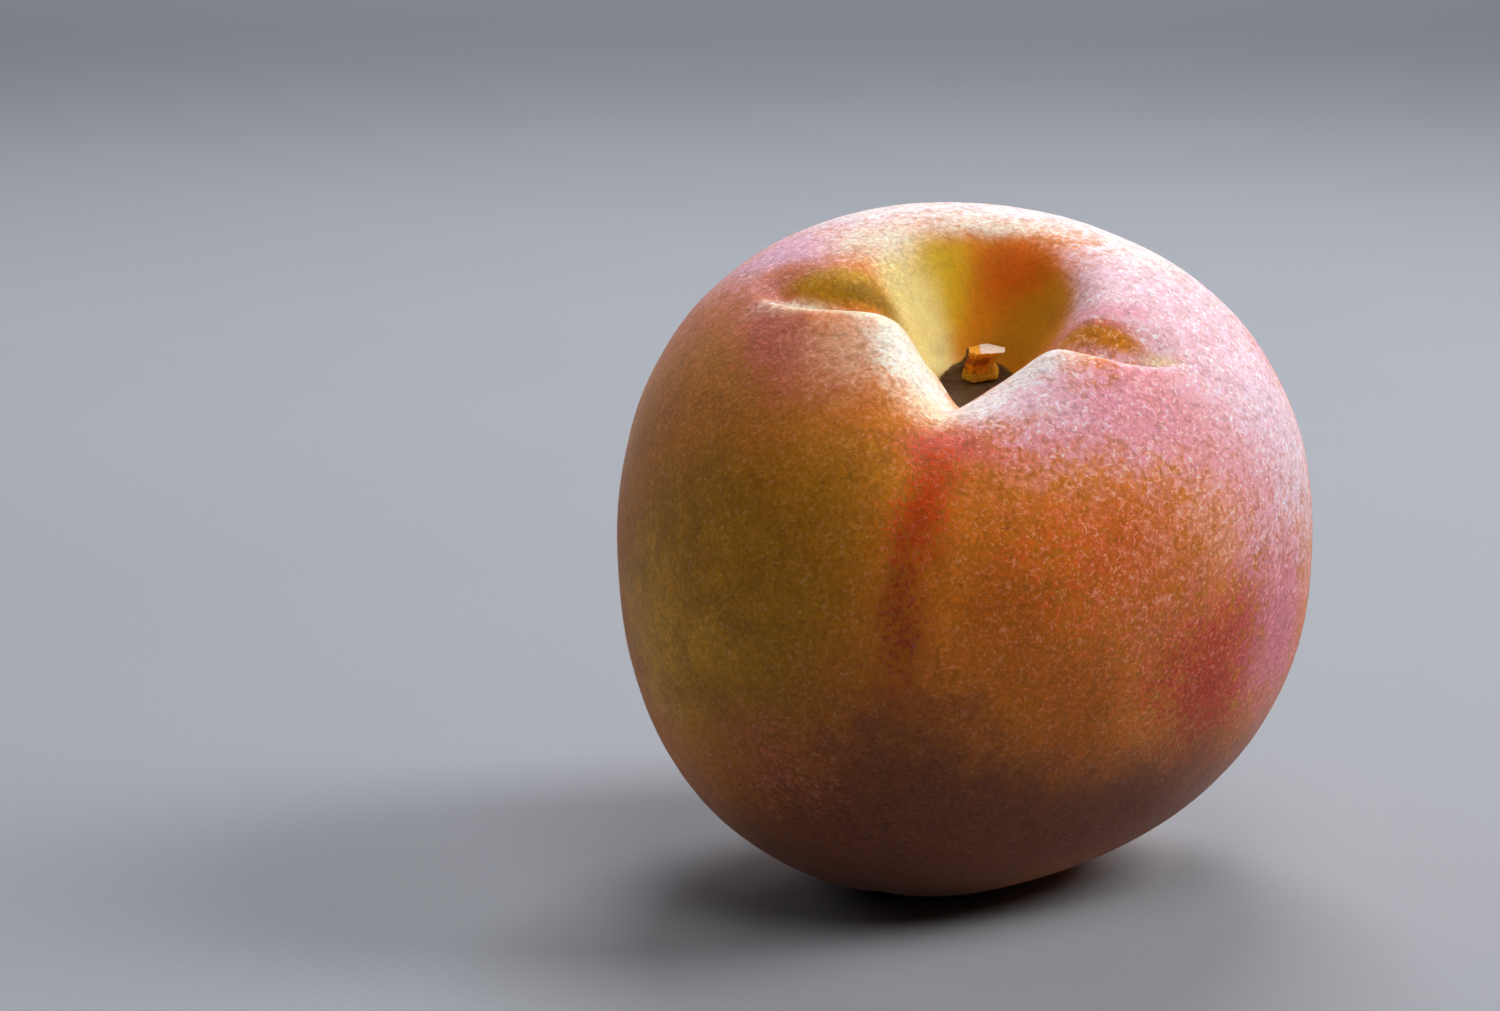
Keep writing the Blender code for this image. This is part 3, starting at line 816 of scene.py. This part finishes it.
HAIRS_A_PIECE = 60000
HAIR_LENGTHS = (0.28 * MM, 0.75 * MM)
HAIR_ROOT = 0.013 * MM
HAIR_LEAN = (25 * DEG, 65 * DEG)
HAIR_SINK = 0.02 * MM
TUFT_LENGTH = 1.6 * MM
TUFT_SWIRL = 2.6 * math.pi
TUFT_STRAY = 0.45
GOLD_HAIR_ROOT = (0.5, 0.2, 0.03)
GOLD_HAIR_TIP = (0.8, 0.5, 0.22)
PINK_HAIR_ROOT = (0.85, 0.5, 0.48)
PINK_HAIR_TIP = (0.97, 0.9, 0.9)
FUZZ_LOWEST_ROOT = 0.6 * MM
FUZZ_LOWEST_TIP = 0.05 * MM


def unit(vectors):
    """Return the vectors at a length of 1."""
    return vectors / np.linalg.norm(vectors, axis=-1, keepdims=True)


def hair_roots(count, first_turn, last_turn, random):
    """Return roots spread by area between two turns: their places, normals, downward directions and masks."""
    ring = np.arange(RINGS - 1)[:, None] * SEGMENTS + 1
    step = np.arange(int(first_turn * SEGMENTS), int(last_turn * SEGMENTS))
    after = (step + 1) % SEGMENTS
    quads = np.stack([ring + step, ring + SEGMENTS + step, ring + SEGMENTS + after, ring + after], -1)
    quads = quads.reshape(-1, 4)
    corners = skin_world[quads]
    across = corners[:, 2] - corners[:, 0]
    back = corners[:, 3] - corners[:, 1]
    facing = np.cross(back, across)
    hairy = masks["hairy"][quads].mean(1) * (corners[:, :, 2].min(1) > FUZZ_LOWEST_ROOT)
    weight = np.linalg.norm(facing, axis=1) * hairy
    chosen = random.choice(len(quads), count, p=weight / weight.sum())
    u, v = random.random((2, count, 1))
    corners = corners[chosen]
    upper = (1 - v) * corners[:, 0] + v * corners[:, 3]
    lower = (1 - v) * corners[:, 1] + v * corners[:, 2]
    place = (1 - u) * upper + u * lower
    down = unit(corners[:, 1] + corners[:, 2] - corners[:, 0] - corners[:, 3])
    return place, unit(facing[chosen]), down, masks["pale"][quads].mean(1)[chosen]


def fuzz_mesh(first_turn, last_turn, seed):
    """Return the hairs' points, faces and masks between two turns, as three-sided spikes."""
    random = np.random.default_rng(seed)
    root, normal, down, pale = hair_roots(HAIRS_A_PIECE, first_turn, last_turn, random)
    side = np.cross(normal, down)
    tuft = TUFT_SWIRL * noise_at(root, TUFT_LENGTH) + random.normal(0, TUFT_STRAY, len(root))
    lean = random.uniform(*HAIR_LEAN, len(root))
    along = down * np.cos(tuft)[:, None] + side * np.sin(tuft)[:, None] + 0.35 * down
    direction = normal * np.cos(lean)[:, None] + unit(along) * np.sin(lean)[:, None]
    length = random.uniform(*HAIR_LENGTHS, len(root)) * (0.75 + 0.25 * pale)
    tip = root + direction * length[:, None]
    tip[:, 2] = np.maximum(tip[:, 2], FUZZ_LOWEST_TIP)
    first = unit(np.cross(direction, normal + 0.2 * side))
    second = np.cross(unit(direction), first)
    spin = random.uniform(0, math.tau, len(root))
    ring = [
        root - normal * HAIR_SINK + HAIR_ROOT * (
            first * np.cos(spin + corner)[:, None] + second * np.sin(spin + corner)[:, None]
        )
        for corner in (0, math.tau / 3, 2 * math.tau / 3)
    ]
    points = np.stack([*ring, tip], 1).reshape(-1, 3)
    start = 4 * np.arange(len(root))[:, None]
    faces = np.concatenate([start + (0, 1, 3), start + (1, 2, 3), start + (2, 0, 3)], 1).reshape(-1, 3)
    rise = np.tile((0.0, 0.0, 0.0, 1.0), len(root))
    return points, faces.tolist(), {"rise": rise, "pale": np.repeat(pale, 4)}


def map_hairs(piece):
    """Lay every hair's bake map over the same small spot, with the tip above the roots."""
    layer = piece.data.uv_layers.new(name="OFBake")
    spots = ((0.49, 0.49), (0.51, 0.49), (0.5, 0.51))
    layer.uv.foreach_set("vector", np.tile(np.array(spots, np.float32).ravel(), len(piece.data.polygons)))


def fuzz_hair():
    """Make the hairs' material: tinted by the skin at the root and nearly white at the tip."""
    material = bpy.data.materials.new("fuzz_hair")
    material.use_nodes = True
    tree = material.node_tree
    rise = mask_of(tree, "rise")
    gold = coated(tree, (*GOLD_HAIR_ROOT, 1), GOLD_HAIR_TIP, rise)
    pink = coated(tree, (*PINK_HAIR_ROOT, 1), PINK_HAIR_TIP, rise)
    both = {"Factor": mask_of(tree, "pale"), "A": gold, "B": pink}
    link_inputs(tree, tree.nodes["Principled BSDF"], {
        "Base Color": new_node(tree, "ShaderNodeMix", both, data_type="RGBA").outputs["Result"],
        "Roughness": 0.55,
        "Specular IOR Level": 0.3,
    })
    return material


hair_material = fuzz_hair()
for quarter, name in enumerate(("fuzz_front_right", "fuzz_back_right", "fuzz_back_left", "fuzz_front_left")):
    hair_points, hair_faces, hair_masks = fuzz_mesh(quarter / 4, (quarter + 1) / 4, quarter + 11)
    fuzz = mesh_piece(name, hair_points, hair_faces, hair_material, hair_masks)
    map_hairs(fuzz)
    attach(fuzz, "root")

# Studio: a plain pale floor, three soft lights overhead (a key from the upper right, one behind and a weaker
# one in front), a weak one for the left rim, one that lights the floor far behind, a faint even air light,
# and a camera looking slightly down.

FLOOR_SIDE = 8.0
FLOOR_COLOUR = (0.35, 0.365, 0.405)
KEY = {"toward": (1, 0, 0.9), "away": 0.9, "size": 0.4, "power": 5.6, "colour": (1, 0.98, 0.95)}
TOP_BACK = {"toward": (0.1, 0.8, 1), "away": 0.9, "size": 0.4, "power": 4.4, "colour": (0.94, 0.97, 1)}
TOP_FRONT = {"toward": (0.1, -0.5, 1), "away": 0.9, "size": 0.4, "power": 2.1, "colour": (1, 0.98, 0.95)}
RIM = {"toward": (-1, 0.62, 0.5), "away": 0.9, "size": 0.4, "power": 0.9, "colour": (0.96, 0.94, 1)}
FAR = {"toward": (0, 1.9, 0.9), "away": 2.4, "size": 1.4, "power": 16, "colour": (0.94, 0.97, 1)}
FAR["back"] = (0, 0, 1)
AIR_COLOUR = (0.5, 0.53, 0.6)
AIR_STRENGTH = 0.02
CAMERA_ELEVATION = 11 * DEG
CAMERA_AWAY = 0.45
CAMERA_LENS = 100
SENSOR_WIDTH = 36
PICTURE_SIZE = (1500, 1011)
FRUIT_IN_PICTURE = (963, 550)
FRUIT_AIM = Vector((-0.25, 0, 1.45)) * MM


def soft_light(name, light):
    """Hang a square soft light that faces the fruit, or away from the direction of its back."""
    lamp = bpy.data.lights.new(name, "AREA")
    lamp.size = light["size"]
    lamp.energy = light["power"]
    lamp.color = light["colour"]
    item = bpy.data.objects.new(name, lamp)
    toward = Vector(light["toward"]).normalized()
    item.location = MIDDLE_ABOVE_FLAT_SPOT + toward * light["away"]
    item.rotation_euler = Vector(light.get("back", toward)).to_track_quat("Z", "Y").to_euler()
    bpy.context.scene.collection.objects.link(item)


soft_light("key_light", KEY)
soft_light("top_back_light", TOP_BACK)
soft_light("top_front_light", TOP_FRONT)
soft_light("rim_light", RIM)
soft_light("far_light", FAR)

air = bpy.data.worlds.new("studio_air")
air.use_nodes = True
air.node_tree.nodes["Background"].inputs["Color"].default_value = (*AIR_COLOUR, 1)
air.node_tree.nodes["Background"].inputs["Strength"].default_value = AIR_STRENGTH
bpy.context.scene.world = air


def floor_paper():
    """Make the floor's material, a matt pale paper with a faint tooth and soft clouds."""
    material = bpy.data.materials.new("floor_paper")
    material.use_nodes = True
    tree = material.node_tree
    place = new_node(tree, "ShaderNodeTexCoord").outputs["Object"]
    tooth = noise_of(tree, place, 0.9 * MM, 2)
    cloud = noise_of(tree, place, 110 * MM, 2)
    value = sum_of(tree, "MULTIPLY_ADD", tooth, 0.07, sum_of(tree, "MULTIPLY_ADD", cloud, 0.08, 0.925))
    shade = {"Color": (*FLOOR_COLOUR, 1), "Value": value}
    shade = new_node(tree, "ShaderNodeHueSaturation", shade).outputs["Color"]
    bump = new_node(tree, "ShaderNodeBump", {"Height": tooth, "Strength": 0.15, "Distance": 0.05 * MM})
    link_inputs(tree, tree.nodes["Principled BSDF"], {
        "Base Color": shade,
        "Roughness": sum_of(tree, "MULTIPLY_ADD", cloud, 0.1, 0.75),
        "Normal": bump.outputs["Normal"],
        "Specular IOR Level": 0.2,
    })
    return material


half = FLOOR_SIDE / 2
floor = mesh_piece(
    "studio_floor",
    np.array([(-half, -half, 0), (half, -half, 0), (half, half, 0), (-half, half, 0)]),
    [(0, 1, 2, 3)],
    floor_paper(),
    {},
)

forward = Vector((0, math.cos(CAMERA_ELEVATION), -math.sin(CAMERA_ELEVATION)))
upward = Vector((0, math.sin(CAMERA_ELEVATION), math.cos(CAMERA_ELEVATION)))
per_pixel = CAMERA_AWAY * SENSOR_WIDTH / CAMERA_LENS / PICTURE_SIZE[0]
lens = bpy.data.cameras.new("camera")
lens.lens = CAMERA_LENS
lens.sensor_width = SENSOR_WIDTH
camera = bpy.data.objects.new("camera", lens)
aim = MIDDLE_ABOVE_FLAT_SPOT + FRUIT_AIM
aim = aim - Vector((1, 0, 0)) * (FRUIT_IN_PICTURE[0] - PICTURE_SIZE[0] / 2) * per_pixel
aim = aim + upward * (FRUIT_IN_PICTURE[1] - PICTURE_SIZE[1] / 2) * per_pixel
camera.location = aim - forward * CAMERA_AWAY
camera.rotation_euler = forward.to_track_quat("-Z", "Y").to_euler()
bpy.context.scene.collection.objects.link(camera)
bpy.context.scene.camera = camera
bpy.context.scene.view_settings.view_transform = "Standard"
